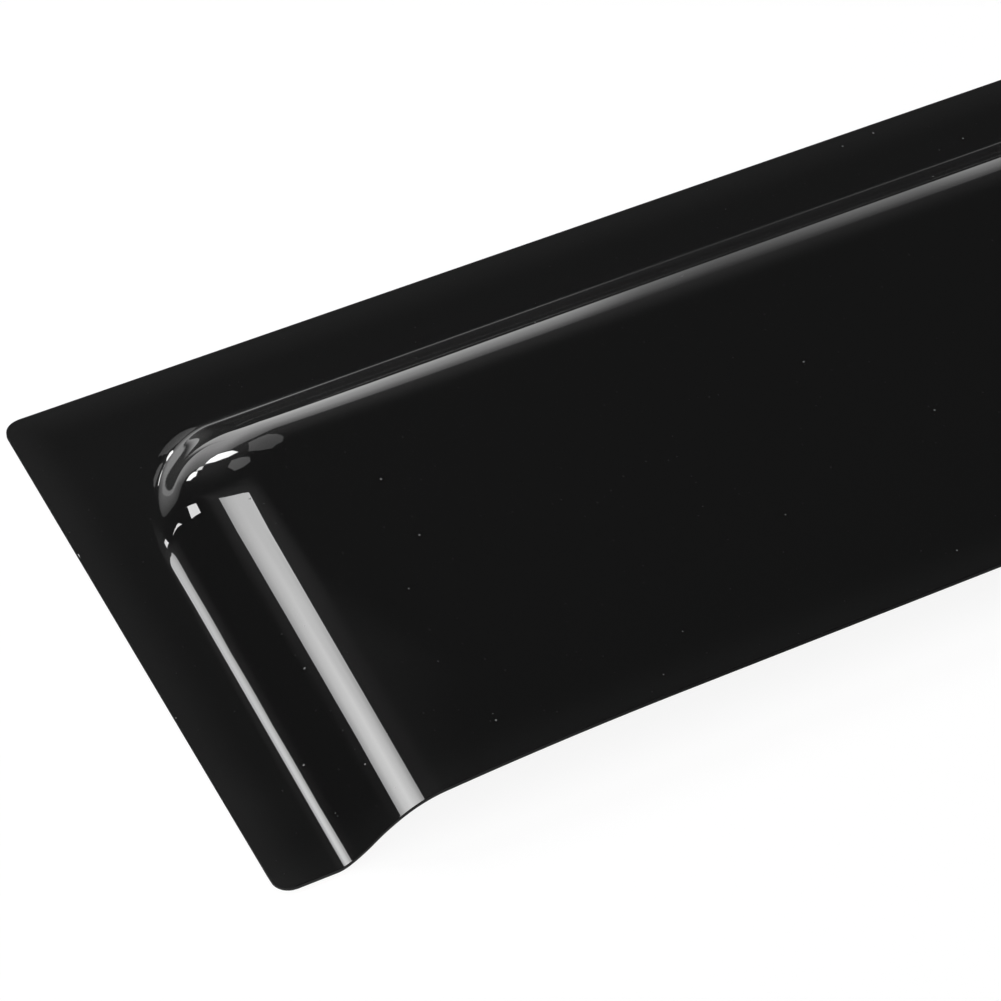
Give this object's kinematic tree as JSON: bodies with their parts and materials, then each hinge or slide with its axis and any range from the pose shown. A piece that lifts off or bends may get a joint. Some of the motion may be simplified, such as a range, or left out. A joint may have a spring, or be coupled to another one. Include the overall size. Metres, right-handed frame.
{
  "type": "window rain deflector",
  "caption": "Long thin gloss black sheet formed into a raised panel, with a flat stick-on rim along its top and ends, fixed over a car's side window to shed rain.",
  "frame": {"origin": "middle of the outline, on the plane of the rim's back", "axes": "+X along the sheet's length, +Y towards the rimmed top edge, +Z out of the raised panel, away from the door"},
  "size_m": [0.64, 0.11, 0.0115],
  "materials": {
    "gloss_sheet": "black, polished on both faces"
  },
  "bodies": {
    "root": {"deflector_sheet": "gloss_sheet"}
  },
  "joints": []
}
